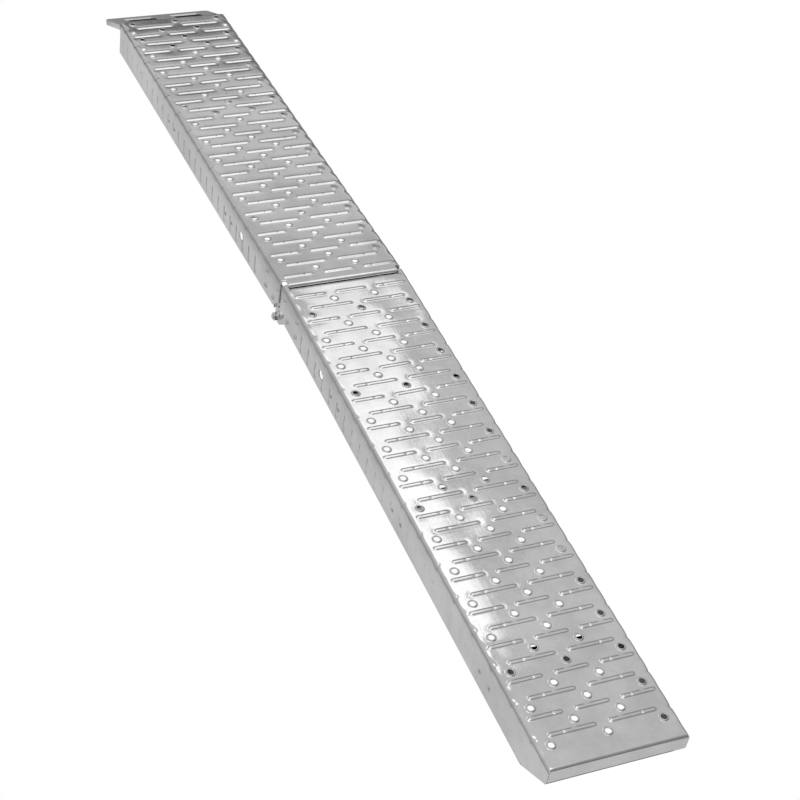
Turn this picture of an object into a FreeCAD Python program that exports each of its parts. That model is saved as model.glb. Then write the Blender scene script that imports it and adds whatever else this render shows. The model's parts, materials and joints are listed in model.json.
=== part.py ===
"""Folding loading ramp for dogs: two pressed-steel halves hinged below the deck.

Each half is modelled in its own frame, which has its origin on the hinge axis:
X runs across the ramp, Z is square to the deck, and a distance along the deck is
counted outwards from the hinge.  The lower half (towards the foot) runs along -Y
and the upper half (towards the lip) along +Y.  All sizes are in millimetres and
degrees.
"""
import FreeCAD, Part
import math
import os

from FreeCAD import Placement, Rotation, Vector

os.makedirs("parts", exist_ok=True)
doc = FreeCAD.newDocument("folding_ramp")

LOWER = -1
UPPER = 1
SIDES = {"left": -1, "right": 1}

# How far cutting shapes run past the sheet they cut.
SPARE = 30.0

# ---------------------------------------------------------------- driving sizes
SIZES = {
    # pressed deck sheet
    "deck_width": 207.0,
    "sheet": 1.5,
    "bend_radius": 5.0,
    "flange_depth": 62.0,
    "pivot_depth": 66.5,
    # reach of each half, counted from the hinge axis
    "lower_deck_start": 12.2,
    "lower_flange_start": 4.2,
    "lower_deck_end": 988.0,
    "upper_deck_start": -13.2,
    "upper_flange_start": 1.3,
    "upper_deck_end": 876.0,
    "end_wall_depth": 12.0,
    "overhang_half_width": 94.5,
    "overhang_root": 12.0,
    "foot_wall_depth": 26.0,
    "washer_notch_depth": 54.0,
    "washer_notch_length": 10.0,
    "ear_notch_depth": 41.0,
    "ear_notch_length": 26.0,
    "foot_slope_length": 61.0,
    # pressed tread pattern
    "pitch": 62.0,
    "lower_first_row": 36.6,
    "upper_first_row": 11.2,
    "lower_repeats": 15,
    "upper_repeats": 14,
    "inner_column": 34.2,
    "outer_column": 83.2,
    "hole_radius": 4.5,
    "collar_radius": 7.0,
    "collar_height": 1.8,
    "collar_slope": 40.0,
    "ridge_width": 7.2,
    "ridge_height": 1.6,
    "short_ridge": 51.8,
    "short_ridge_centre": 69.1,
    "long_ridge": 70.8,
    "long_ridge_centre": 44.6,
    # upright ribs pressed into the side flanges
    "rib_count": 25,
    "lower_first_rib": 103.6,
    "upper_first_rib": 109.2,
    "rib_width": 12.0,
    "rib_length": 33.0,
    "rib_depth": 0.8,
    "rib_middle": 40.0,
    "lock_reach": 184.0,
    "lock_depth": 33.0,
    "lock_radius": 7.5,
    "dimple_reach": 741.5,
    "dimple_radius": 6.0,
    # folded cross braces
    "brace_width": 29.0,
    "brace_top": 11.0,
    "brace_bottom": 31.0,
    "tie_width": 14.0,
    "tie_top": 36.5,
    "tie_bottom": 41.0,
    "brace_tab_margin": 6.0,
    "brace_rivet_depth": 40.0,
    "brace_rivet_radius": 2.4,
    "brace_head_radius": 3.6,
    "brace_head_height": 0.7,
    "brace_tail_height": 1.2,
    # strap across the lower half behind the hinge
    "strap_middle": 79.0,
    "strap_width": 22.0,
    "strap_depth": 14.0,
    "strap_half_length": 96.0,
    # hinge
    "plate": 3.0,
    "ear_radius": 15.0,
    "ear_offset": 3.3,
    "plate_top": 9.0,
    "plate_bottom": 58.0,
    "joggle_top": 44.0,
    "joggle_bottom": 50.0,
    "joggle_length": 22.0,
    "lower_plate_length": 84.0,
    "upper_plate_length": 72.0,
    "pin_radius": 4.0,
    "pin_clearance": 0.08,
    "axial_gap": 0.3,
    "washer": 1.6,
    "washer_radius": 8.0,
    "nut_flats": 13.0,
    "nut_height": 8.0,
    "head_height": 5.3,
    "bolt_past_nut": 1.5,
    "hinge_rivet_radius": 3.0,
    "rivet_head_radius": 6.2,
    "rivet_head_height": 2.6,
    "rivet_tail_height": 1.8,
    # lip plate
    "lip_sheet": 2.0,
    "lip_tail": 753.0,
    "lip_bend": 867.8,
    "lip_drop": 21.6,
    "lip_length": 115.7,
    "lip_skirt": 10.0,
    "lip_skirt_start": 14.0,
    "lip_corner": 9.0,
    "slot_middle": 46.0,
    "slot_width": 55.0,
    "slot_start": 42.0,
    "slot_end": 90.0,
    "slot_fold_drop": 38.0,
    "slot_fold_length": 4.0,
    "lip_rivet_column": 91.0,
    "lip_rivet_inner": 768.8,
    "lip_rivet_outer": 832.8,
    # stance: how the halves meet and stand on the floor
    "arch": 4.36,
    "lower_tilt": 0.0,
    "upper_tilt": 0.0,
    "pivot_y": 0.0,
    "pivot_z": 0.0,
}

LOWER_HINGE_RIVETS = ((18.2, 20.0), (74.2, 20.0), (37.2, 50.0), (74.2, 50.0))
UPPER_HINGE_RIVETS = ((9.0, 22.0), (61.0, 19.5), (27.5, 50.0), (61.5, 49.0))
LOWER_BRACES = (4, 12, 22)
UPPER_BRACE = 14
UPPER_TIE = 4

sheet = doc.addObject("Spreadsheet::Sheet", "Sizes")
for row, (alias, value) in enumerate(SIZES.items(), start=1):
    sheet.set("A%d" % row, alias)
    sheet.set("B%d" % row, repr(value))
    sheet.setAlias("B%d" % row, alias)
doc.recompute()


def size(alias):
    """Current value of one cell of the sizes sheet."""
    return float(sheet.get(alias))


def half_name(out):
    """Word for the half that lies on this side of the hinge."""
    return "lower" if out == LOWER else "upper"


def height(depth):
    """Height over the hinge axis of a point this deep below the deck top."""
    return size("pivot_depth") - depth


# ---------------------------------------------------------------- stance
def set_stance():
    """Share the arch between the halves so that both ends stand on the floor."""
    lower_reach = size("lower_deck_end") - size("foot_slope_length")
    upper_reach = size("upper_deck_end")
    share = upper_reach / (lower_reach + upper_reach)
    sheet.set(sheet.getCellFromAlias("lower_tilt"), repr(size("arch") * share))
    sheet.set(sheet.getCellFromAlias("upper_tilt"), repr(-size("arch") * (1 - share)))
    doc.recompute()


def stand(part, out, label):
    """Give a sub-part its name and carry it from its half's frame to the row frame."""
    part.Label = label
    tilt = "Sizes.%s_tilt" % half_name(out)
    part.Placement = Placement(Vector(0, 0, 0), Rotation(Vector(1, 0, 0), 0))
    part.setExpression("Placement.Rotation.Angle", tilt)
    part.setExpression("Placement.Base.y", "Sizes.pivot_y")
    part.setExpression("Placement.Base.z", "Sizes.pivot_z")
    parts.append(part)
    return part


# ---------------------------------------------------------------- sketch helpers
def origin_plane(body, role):
    """One of a body's own origin planes, such as XY_Plane."""
    return next(item for item in body.Origin.OriginFeatures if item.Role == role)


def new_sketch(body, name, role, offset=None):
    """Empty sketch on an origin plane of the body, moved by an optional placement."""
    sketch = body.newObject("Sketcher::SketchObject", name)
    sketch.AttachmentSupport = [(origin_plane(body, role), "")]
    sketch.MapMode = "FlatFace"
    if offset is not None:
        sketch.AttachmentOffset = offset
    return sketch


def add_outline(sketch, points):
    """Closed outline of straight lines."""
    corners = [Vector(x, y, 0) for x, y in points]
    for start, end in zip(corners, corners[1:] + corners[:1]):
        sketch.addGeometry(Part.LineSegment(start, end), False)


def add_rectangle(sketch, x0, x1, y0, y1):
    """Rectangle between two X and two Y values."""
    add_outline(sketch, ((x0, y0), (x1, y0), (x1, y1), (x0, y1)))


def add_circle(sketch, x, y, radius):
    """Full circle."""
    sketch.addGeometry(Part.Circle(Vector(x, y, 0), Vector(0, 0, 1), radius), False)


def add_stadium(sketch, x, y, length, width, upright=False):
    """Slot shape with round ends, along X or, when upright, along Y."""
    half = (length - width) / 2
    radius = width / 2
    turn = math.pi / 2 if upright else 0.0
    along = Vector(math.cos(turn), math.sin(turn), 0)
    across = Vector(-math.sin(turn), math.cos(turn), 0)
    middle = Vector(x, y, 0)
    for way in (1, -1):
        centre = middle + along * (half * way)
        full = Part.Circle(centre, Vector(0, 0, 1), radius)
        start = turn - way * math.pi / 2
        sketch.addGeometry(Part.ArcOfCircle(full, start, start + math.pi), False)
        edge = across * (radius * way)
        ends = [middle + along * half + edge, middle - along * half + edge]
        sketch.addGeometry(Part.LineSegment(*ends), False)


def add_feature(body, kind, name, sketch, length=None, **settings):
    """Pad or pocket of a sketch; length is an expression for the sizes sheet."""
    feature = body.newObject("PartDesign::" + kind, name)
    feature.Profile = sketch
    for key, value in settings.items():
        setattr(feature, key, value)
    if length is not None:
        feature.setExpression("Length", length)
    sketch.Visibility = False
    return feature


def cut_through(body, name, sketch):
    """Pocket a sketch right through the body, both ways from its plane."""
    return add_feature(body, "Pocket", name, sketch, Type="ThroughAll", Midplane=True)


def repeat(body, name, originals, out, count, pitch):
    """Repeat features along the ramp, away from the hinge."""
    pattern = body.newObject("PartDesign::LinearPattern", name)
    pattern.Originals = originals
    axis = next(item for item in body.Origin.OriginFeatures if item.Role == "Y_Axis")
    pattern.Direction = (axis, [""])
    pattern.Reversed = out == LOWER
    pattern.setExpression("Occurrences", count)
    pattern.setExpression("Length", "(%s - 1) * %s" % (count, pitch))
    body.Tip = pattern
    return pattern


# ---------------------------------------------------------------- decks
def press_channel(body, out, start, end):
    """Upside-down trough of thin sheet with rounded folds, open below."""
    half = size("deck_width") / 2
    top = Placement(Vector(0, 0, height(0)), Rotation())
    outline = new_sketch(body, "channel_outline", "XY_Plane", top)
    add_rectangle(outline, -half, half, *sorted((out * start, out * end)))
    block = add_feature(body, "Pad", "channel_block", outline, "Sizes.flange_depth")
    block.Reversed = True
    doc.recompute()
    folds = []
    for number, edge in enumerate(block.Shape.Edges, start=1):
        if edge.BoundBox.ZMin > height(0) - 0.01:
            folds.append("Edge%d" % number)
    rounded = body.newObject("PartDesign::Fillet", "folds")
    rounded.Base = (block, folds)
    rounded.setExpression("Radius", "Sizes.bend_radius")
    doc.recompute()
    floor = [
        "Face%d" % number
        for number, face in enumerate(rounded.Shape.Faces, start=1)
        if face.BoundBox.ZMax < height(size("flange_depth")) + 0.01
    ]
    skin = body.newObject("PartDesign::Thickness", "skin")
    skin.Base = (rounded, floor)
    skin.Reversed = True
    skin.setExpression("Value", "Sizes.sheet")
    doc.recompute()


def notch_from_above(body, name, out, low, high, half_width):
    """Cut the deck sheet away between two reaches, keeping the outer strips."""
    plane = Placement(Vector(0, 0, height(0)), Rotation())
    sketch = new_sketch(body, name + "_outline", "XY_Plane", plane)
    add_rectangle(sketch, -half_width, half_width, *sorted((out * low, out * high)))
    return add_feature(body, "Pocket", name, sketch, "Sizes.bend_radius * 3")


def side_cut(body, name, points, out):
    """Cut both flanges to a line drawn in the side view (reach, depth)."""
    sketch = new_sketch(body, name + "_outline", "YZ_Plane")
    add_outline(sketch, [(out * reach, height(depth)) for reach, depth in points])
    return cut_through(body, name, sketch)


def corner_cut(body, name, start, out, notch_depth, notch_length):
    """Slope off the low corner of both flanges next to the hinge."""
    depth = size("flange_depth")
    side_cut(body, name, ((start - 1, notch_depth), (start + notch_length, depth + 1),
                          (start - 1, depth + 1)), out)


def press_treads(body, out, first_row, count):
    """Raised ridges and collared holes, the same set once per pitch."""
    row = size("pitch") / 4
    top = Placement(Vector(0, 0, height(0)), Rotation())
    ridges = new_sketch(body, "ridge_outlines", "XY_Plane", top)
    for x in (-size("short_ridge_centre"), 0.0, size("short_ridge_centre")):
        add_stadium(ridges, x, out * first_row, size("short_ridge"), size("ridge_width"))
    for x in (-size("long_ridge_centre"), size("long_ridge_centre")):
        y = out * (first_row + 2 * row)
        add_stadium(ridges, x, y, size("long_ridge"), size("ridge_width"))
    ridge_pad = add_feature(body, "Pad", "ridges", ridges, "Sizes.ridge_height")

    inner = size("inner_column")
    outer = size("outer_column")
    places = [(x, first_row + row) for x in (-inner, inner)]
    places += [(x, first_row + 3 * row) for x in (-outer, 0.0, outer)]
    collars = new_sketch(body, "collar_outlines", "XY_Plane", top)
    holes = new_sketch(body, "hole_outlines", "XY_Plane", top)
    for x, reach in places:
        add_circle(collars, x, out * reach, size("collar_radius"))
        add_circle(holes, x, out * reach, size("hole_radius"))
    collar_pad = add_feature(body, "Pad", "collars", collars, "Sizes.collar_height")
    collar_pad.setExpression("TaperAngle", "-Sizes.collar_slope")
    hole_cut = add_feature(body, "Pocket", "holes", holes, "Sizes.bend_radius")
    hole_cut.Midplane = True
    repeat(body, "treads", [ridge_pad, collar_pad, hole_cut], out, count, "Sizes.pitch")


def press_ribs(body, out, first_rib):
    """Shallow upright ribs pressed into the outside of both flanges."""
    cuts = []
    for side, way in SIDES.items():
        plane = Placement(Vector(0, 0, way * size("deck_width") / 2), Rotation())
        sketch = new_sketch(body, "rib_outline_" + side, "YZ_Plane", plane)
        y = out * first_rib
        add_stadium(sketch, y, height(size("rib_middle")), size("rib_length"),
                    size("rib_width"), upright=True)
        cut = add_feature(body, "Pocket", "rib_" + side, sketch, "Sizes.rib_depth")
        cut.Reversed = way < 0
        cuts.append(cut)
    repeat(body, "ribs", cuts, out, "Sizes.rib_count", "Sizes.pitch / 2")


def press_dimples(body, out):
    """Round dimple near the far end of each flange."""
    for side, way in SIDES.items():
        plane = Placement(Vector(0, 0, way * size("deck_width") / 2), Rotation())
        sketch = new_sketch(body, "dimple_outline_" + side, "YZ_Plane", plane)
        add_circle(sketch, out * size("dimple_reach"), height(size("lock_depth")),
                   size("dimple_radius"))
        cut = add_feature(body, "Pocket", "dimple_" + side, sketch, "Sizes.rib_depth")
        cut.Reversed = way < 0


def drill_flanges(body, out, hinge_rivets, braces, first_rib):
    """Holes through both flanges for the lock, the hinge rivets and the braces."""
    sketch = new_sketch(body, "flange_hole_outlines", "YZ_Plane")
    add_circle(sketch, out * size("lock_reach"), height(size("lock_depth")),
               size("lock_radius"))
    for reach, depth in hinge_rivets:
        add_circle(sketch, out * reach, height(depth), size("hinge_rivet_radius"))
    for reach in brace_rivet_reaches(braces, first_rib):
        add_circle(sketch, out * reach, height(size("brace_rivet_depth")),
                   size("brace_rivet_radius"))
    cut_through(body, "flange_holes", sketch)


def brace_rivet_reaches(braces, first_rib):
    """Reaches of the two ribs that each brace is riveted through."""
    step = size("pitch") / 2
    return [first_rib + step * (rib + extra) for rib in braces for extra in (0, 1)]


def make_lower_deck():
    """Half that runs down to the foot, with a folded front wall and sloped flanges."""
    body = doc.addObject("PartDesign::Body", "lower_pressing")
    start = size("lower_flange_start")
    end = size("lower_deck_end")
    depth = size("flange_depth")
    press_channel(body, LOWER, start - size("bend_radius") - size("sheet"), end)
    drop_hinge_wall(body, LOWER, start)
    notch_from_above(body, "hinge_notch", LOWER, 0.0, size("lower_deck_start")
                     + size("bend_radius"), size("overhang_half_width") + 1.0)
    fold_end_wall(body, LOWER, size("lower_deck_start"))
    corner_cut(body, "washer_clearance", start, LOWER, size("washer_notch_depth"),
               size("washer_notch_length"))
    wall = size("foot_wall_depth")
    slope = size("foot_slope_length")
    side_cut(body, "foot_slope", ((end - slope, depth), (end + 1, wall),
                                  (end + 1, depth + 1), (end - slope, depth + 1)), LOWER)
    press_treads(body, LOWER, size("lower_first_row"), "Sizes.lower_repeats")
    press_ribs(body, LOWER, size("lower_first_rib"))
    press_dimples(body, LOWER)
    drill_flanges(body, LOWER, LOWER_HINGE_RIVETS, LOWER_BRACES,
                  size("lower_first_rib"))
    doc.recompute()
    return split_folds(body.Shape)


def split_folds(shape):
    """Part the folded strips at both ends of the lower half from its long channel."""
    radius = size("bend_radius")
    edge_end = size("lower_deck_start") + radius
    wall_start = size("lower_deck_end") - radius
    inside = size("deck_width") / 2 - size("sheet")
    strips = {
        "lower_hinge_fold": (size("overhang_half_width") + 1.0, 0.0, edge_end),
        "foot_wall": (inside, wall_start, wall_start + 2 * radius),
    }
    for label, (half, low, high) in strips.items():
        block = Part.makeBox(2 * half, high - low, size("flange_depth"),
                             Vector(-half, -high, height(size("flange_depth")) + 5.0))
        feature = doc.addObject("Part::Feature", label)
        feature.Shape = shape.common(block)
        stand(feature, LOWER, label)
        shape = shape.cut(block)
    feature = doc.addObject("Part::Feature", "lower_deck")
    feature.Shape = shape
    return stand(feature, LOWER, "lower_deck")


def make_upper_deck():
    """Half that runs up to the lip; its deck overhangs the hinge gap."""
    body = doc.addObject("PartDesign::Body", "upper_deck")
    start = size("upper_deck_start")
    flange = size("upper_flange_start")
    end = size("upper_deck_end")
    depth = size("flange_depth")
    spare = size("bend_radius") + size("sheet")
    press_channel(body, UPPER, flange - spare, end + spare)
    drop_hinge_wall(body, UPPER, flange)
    side_cut(body, "lip_end", ((end, -SPARE), (end + SPARE, -SPARE),
                               (end + SPARE, depth + SPARE), (end, depth + SPARE)),
             UPPER)
    corner_cut(body, "ear_clearance", flange, UPPER, size("ear_notch_depth"),
               size("ear_notch_length"))
    strip_end = flange + size("overhang_root")
    notch_from_above(body, "hinge_notch", UPPER, start - 1, strip_end,
                     size("overhang_half_width"))
    fold_end_wall(body, UPPER, start, strip_end)
    press_treads(body, UPPER, size("upper_first_row"), "Sizes.upper_repeats")
    press_ribs(body, UPPER, size("upper_first_rib"))
    press_dimples(body, UPPER)
    drill_flanges(body, UPPER, UPPER_HINGE_RIVETS, (UPPER_TIE, UPPER_BRACE),
                  size("upper_first_rib"))
    drill_lip_rivets(body)
    return stand(body, UPPER, "upper_deck")


def drop_hinge_wall(body, out, start):
    """Remove the trough's end wall next to the hinge."""
    depth = size("flange_depth")
    side_cut(body, "hinge_end", ((start, -SPARE), (start - SPARE, -SPARE),
                                 (start - SPARE, depth + SPARE),
                                 (start, depth + SPARE)), out)


def fold_end_wall(body, out, start, inner_end=None):
    """Strip of deck that folds down next to the hinge gap, drawn in the side view."""
    radius = size("bend_radius")
    sheet_size = size("sheet")
    bottom = size("end_wall_depth")
    inner_end = inner_end if inner_end is not None else start + radius
    sketch = new_sketch(body, "end_wall_outline", "YZ_Plane")
    centre = Vector(out * (start + radius), height(radius), 0)
    top = centre + Vector(0, radius, 0)
    under = centre + Vector(0, radius - sheet_size, 0)
    face = centre - Vector(out * radius, 0, 0)
    back = centre - Vector(out * (radius - sheet_size), 0, 0)
    low_face = Vector(face.x, height(bottom), 0)
    low_back = Vector(back.x, height(bottom), 0)
    angles = (math.pi / 2, math.pi) if out == UPPER else (0.0, math.pi / 2)
    for bend in (radius, radius - sheet_size):
        full = Part.Circle(centre, Vector(0, 0, 1), bend)
        sketch.addGeometry(Part.ArcOfCircle(full, *angles), False)
    far_top = Vector(out * inner_end, top.y, 0)
    far_under = Vector(out * inner_end, under.y, 0)
    if abs(far_top.x - top.x) < 0.001:
        chain = [(top, under)]
    else:
        chain = [(top, far_top), (far_top, far_under), (far_under, under)]
    chain += [(face, low_face), (low_face, low_back), (low_back, back)]
    for ends in chain:
        sketch.addGeometry(Part.LineSegment(*ends), False)
    wall = add_feature(body, "Pad", "end_wall", sketch,
                       "2 * Sizes.overhang_half_width")
    wall.Midplane = True


def drill_lip_rivets(body):
    """Four holes through a sheet for the rivets that hold the lip."""
    plane = Placement(Vector(0, 0, height(0)), Rotation())
    sketch = new_sketch(body, "lip_rivet_holes_outline", "XY_Plane", plane)
    for x, y in lip_rivet_places():
        add_circle(sketch, x, y, size("hinge_rivet_radius"))
    cut = add_feature(body, "Pocket", "lip_rivet_holes", sketch, "Sizes.bend_radius * 2")
    cut.Midplane = True


def lip_rivet_places():
    """Deck positions of the four lip rivets."""
    column = size("lip_rivet_column")
    reaches = (size("lip_rivet_inner"), size("lip_rivet_outer"))
    return [(x, reach) for x in (-column, column) for reach in reaches]


# ---------------------------------------------------------------- lip
def make_lip():
    """Plate under the upper deck's end that bends down to rest on a sill."""
    body = doc.addObject("PartDesign::Body", "lip_plate")
    half = size("deck_width") / 2
    drop = size("lip_drop")
    length = size("lip_length")
    under_deck = height(size("sheet"))
    bend = Placement(Vector(0, size("lip_bend"), under_deck),
                     Rotation(Vector(1, 0, 0), -drop))
    skirt_start = size("lip_skirt_start")
    outline = new_sketch(body, "tray_outline", "XY_Plane", bend)
    add_rectangle(outline, -half, half, skirt_start, length)
    tray = add_feature(body, "Pad", "tray_block", outline, "Sizes.lip_skirt")
    tray.Reversed = True
    doc.recompute()
    corners = []
    for number, edge in enumerate(tray.Shape.Edges, start=1):
        box = edge.BoundBox
        upright = abs(edge.Length - size("lip_skirt")) < 0.01
        if upright and box.YMin > size("lip_bend") + length / 2:
            corners.append("Edge%d" % number)
    rounded = body.newObject("PartDesign::Fillet", "tray_corners")
    rounded.Base = (tray, corners)
    rounded.setExpression("Radius", "Sizes.lip_corner")
    doc.recompute()
    opened = []
    down = bend.Rotation.multVec(Vector(0, 0, -1))
    back = bend.Rotation.multVec(Vector(0, -1, 0))
    for number, face in enumerate(rounded.Shape.Faces, start=1):
        normal = face.normalAt(0, 0)
        if normal.dot(down) > 0.99 or normal.dot(back) > 0.99:
            opened.append("Face%d" % number)
    tray_skin = body.newObject("PartDesign::Thickness", "tray_skin")
    tray_skin.Base = (rounded, opened)
    tray_skin.Reversed = True
    tray_skin.setExpression("Value", "Sizes.lip_sheet")
    doc.recompute()

    inner_half = half - size("bend_radius")
    profile = new_sketch(body, "tail_outline", "YZ_Plane")
    thick = size("lip_sheet")
    lean = math.radians(drop)
    reach = skirt_start + 2.0
    bend_y = size("lip_bend")
    inner_bend = thick * math.tan(lean / 2)
    add_outline(profile, (
        (size("lip_tail"), under_deck),
        (bend_y, under_deck),
        (bend_y + reach * math.cos(lean), under_deck - reach * math.sin(lean)),
        (bend_y + reach * math.cos(lean) - thick * math.sin(lean),
         under_deck - reach * math.sin(lean) - thick * math.cos(lean)),
        (bend_y - inner_bend, under_deck - thick),
        (size("lip_tail"), under_deck - thick),
    ))
    tail = add_feature(body, "Pad", "tail", profile)
    tail.Midplane = True
    tail.Length = 2 * inner_half

    slots = new_sketch(body, "slot_outlines", "XY_Plane", bend)
    for way in SIDES.values():
        middle = way * size("slot_middle")
        wide = size("slot_width") / 2
        add_rectangle(slots, middle - wide, middle + wide, size("slot_start"),
                      size("slot_end"))
    slot_cut = add_feature(body, "Pocket", "slots", slots, "Sizes.lip_sheet * 3")
    slot_cut.Midplane = True

    for side, way in SIDES.items():
        fold_slot_edge(body, side, way, bend)
    drill_lip_rivets(body)
    return stand(body, UPPER, "lip_plate")


def fold_slot_edge(body, side, way, bend):
    """Short strip along a slot's far edge that is turned down to blunt the edge."""
    plane = Placement(Vector(0, 0, way * size("slot_middle")), Rotation())
    sketch = new_sketch(body, "slot_fold_outline_" + side, "YZ_Plane", plane)
    thick = size("lip_sheet")
    push = math.radians(size("slot_fold_drop"))
    end = size("slot_end")
    length = size("slot_fold_length")
    flat = (
        (end + 3.0, 0.0),
        (end, 0.0),
        (end - length * math.cos(push), -length * math.sin(push)),
        (end - length * math.cos(push) + thick * math.sin(push),
         -length * math.sin(push) - thick * math.cos(push)),
        (end + 0.5 * thick, -thick),
        (end + 3.0, -thick),
    )
    spots = [bend.multVec(Vector(0, y, z)) for y, z in flat]
    add_outline(sketch, [(spot.y, spot.z) for spot in spots])
    strip = add_feature(body, "Pad", "slot_fold_" + side, sketch, "Sizes.slot_width")
    strip.Midplane = True


# ---------------------------------------------------------------- braces
def make_brace(out, name, rib, first_rib, kind="brace"):
    """Open channel across the ramp, with a plate at each end riveted to the flange."""
    body = doc.addObject("PartDesign::Body", name)
    middle = out * (first_rib + (rib + 0.5) * size("pitch") / 2)
    outer = size(kind + "_width") / 2
    inner = outer - size("sheet")
    top = height(size(kind + "_top"))
    bottom = height(size(kind + "_bottom"))
    inside = size("deck_width") / 2 - size("sheet")
    sketch = new_sketch(body, "channel_section", "YZ_Plane")
    add_outline(sketch, [(middle + y, z) for y, z in (
        (-outer, top), (-outer, bottom), (outer, bottom), (outer, top),
        (inner, top), (inner, bottom + size("sheet")),
        (-inner, bottom + size("sheet")), (-inner, top))])
    channel = add_feature(body, "Pad", "channel", sketch,
                          "Sizes.deck_width - 2 * Sizes.sheet")
    channel.Midplane = True
    rivet_reach = size("pitch") / 4
    rivet_height = height(size("brace_rivet_depth"))
    margin = size("brace_tab_margin")
    tab_top = max(top, rivet_height + margin)
    tabs = new_sketch(body, "tab_sections", "XY_Plane",
                      Placement(Vector(0, 0, tab_top), Rotation()))
    for way in SIDES.values():
        x_range = sorted((way * inside, way * (inside - size("sheet"))))
        add_rectangle(tabs, *x_range, middle - rivet_reach - margin,
                      middle + rivet_reach + margin)
    tab_pad = add_feature(body, "Pad", "tabs", tabs)
    tab_pad.Reversed = True
    tab_pad.Length = tab_top - rivet_height + margin
    holes = new_sketch(body, "tab_holes", "YZ_Plane")
    for turn in (-1, 1):
        add_circle(holes, middle + turn * rivet_reach, rivet_height,
                   size("brace_rivet_radius"))
    cut_through(body, "rivet_holes", holes)
    return stand(body, out, name)


def make_strap():
    """Shallow upside-down channel under the lower deck, just past the hinge."""
    body = doc.addObject("PartDesign::Body", "hinge_strap")
    middle = -size("strap_middle")
    wide = size("strap_width") / 2
    thick = size("sheet")
    top = height(size("sheet"))
    low = top - size("strap_depth")
    sketch = new_sketch(body, "strap_section", "YZ_Plane")
    add_outline(sketch, [(middle + y, z) for y, z in (
        (-wide, top), (wide, top), (wide, low), (wide - thick, low),
        (wide - thick, top - thick), (-wide + thick, top - thick),
        (-wide + thick, low), (-wide, low))])
    strap = add_feature(body, "Pad", "strap", sketch, "2 * Sizes.strap_half_length")
    strap.Midplane = True
    return stand(body, LOWER, "hinge_strap")


# ---------------------------------------------------------------- hinge plates
def plate_outline(out):
    """Side view of one hinge plate: a riveted strip with a round ear at the pivot."""
    ear = size("ear_radius")
    top = height(size("plate_top"))
    bottom = height(size("plate_bottom"))
    length = size(half_name(out) + "_plate_length")
    lean = math.tan(math.radians(size("arch") / 2))
    play = size("axial_gap") / 2
    shoulder = 2 * ear
    tangent = math.atan2(bottom, shoulder) - math.acos(ear / math.hypot(bottom, shoulder))
    low = (ear * math.cos(tangent), ear * math.sin(tangent))
    middle_turn = (math.pi + tangent) / 2 + math.pi
    if out == LOWER:
        ear_top = (0.0, ear)
        arc_start = math.pi / 2
        arc_mid = (math.pi / 2 + 2 * math.pi + tangent) / 2
        neck = [ear_top, (play - lean * ear, ear), (play - lean * top, top)]
    else:
        ear_top = (-ear, 0.0)
        arc_start = math.pi
        arc_mid = middle_turn
        step = height(size("joggle_bottom"))
        neck = [ear_top, (-ear, step), (play - lean * step, step),
                (play - lean * top, top)]
    neck += [(length, top), (length, bottom), (shoulder, bottom), low]
    mid = (ear * math.cos(arc_mid), ear * math.sin(arc_mid))
    start = (ear * math.cos(arc_start), ear * math.sin(arc_start))
    edges = []
    for first, last in zip(neck, neck[1:]):
        edges.append(Part.makeLine(Vector(0, out * first[0], first[1]),
                                   Vector(0, out * last[0], last[1])))
    arc = Part.Arc(*(Vector(0, out * y, z) for y, z in (low, mid, start)))
    edges.append(arc.toShape())
    return Part.Face(Part.Wire(edges))


def plate_thickness_section(out):
    """Upright section of a hinge plate on the left side, joggled for the upper one."""
    outer = size("sheet") - size("deck_width") / 2
    thick = size("plate")
    top = height(0)
    low = -2 * size("ear_radius")
    if out == LOWER:
        spots = ((outer, top), (outer + thick, top), (outer + thick, low), (outer, low))
    else:
        shift = size("ear_offset")
        bend_top = height(size("joggle_top"))
        bend_low = height(size("joggle_bottom"))
        spots = ((outer, top), (outer + thick, top), (outer + thick, bend_top),
                 (outer + thick + shift, bend_low), (outer + thick + shift, low),
                 (outer + shift, low), (outer + shift, bend_low), (outer, bend_top))
    corners = [Vector(x, 0, z) for x, z in spots]
    return Part.Face(Part.makePolygon(corners + corners[:1]))


def make_hinge_plate(out, side, rivets):
    """Hinge plate: section run along the ramp, kept inside its side-view outline."""
    way = SIDES[side]
    reach = 4 * size("ear_radius")
    length = size(half_name(out) + "_plate_length")
    across = Vector(2 * size("ear_radius"), 0, 0)
    left = Vector(-size("deck_width") / 2, 0, 0)
    silhouette = plate_outline(out).translated(left).extrude(across)
    if out == LOWER:
        section = plate_thickness_section(out).translated(Vector(0, -length - 1, 0))
        bar = section.extrude(Vector(0, length + reach, 0))
    else:
        ear_end = size("joggle_length")
        joggled = plate_thickness_section(UPPER).translated(Vector(0, -reach, 0))
        straight = plate_thickness_section(LOWER).translated(Vector(0, ear_end, 0))
        ear_bar = joggled.extrude(Vector(0, reach + ear_end, 0))
        bar = ear_bar.fuse(straight.extrude(Vector(0, length, 0))).removeSplitter()
    plate = bar.common(silhouette)
    pin = size("pin_radius") + (size("pin_clearance") if out == UPPER else 0.0)
    drills = [Part.makeCylinder(pin, 60, left, Vector(1, 0, 0))]
    for reach_out, depth in rivets:
        start = left + Vector(0, out * reach_out, height(depth))
        drills.append(Part.makeCylinder(size("hinge_rivet_radius"), 20, start,
                                        Vector(1, 0, 0)))
    plate = plate.cut(Part.makeCompound(drills))
    if way > 0:
        plate = plate.mirror(Vector(0, 0, 0), Vector(1, 0, 0))
    name = "%s_hinge_plate_%s" % (half_name(out), side)
    feature = doc.addObject("Part::Feature", name)
    feature.Shape = plate.Solids[0] if len(plate.Solids) == 1 else plate
    return stand(feature, out, name)


# ---------------------------------------------------------------- fasteners
# Radii of a rivet's upset tail, as multiples of its shank.
TAIL_FOOT = 1.6
TAIL_END = 1.3
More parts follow.
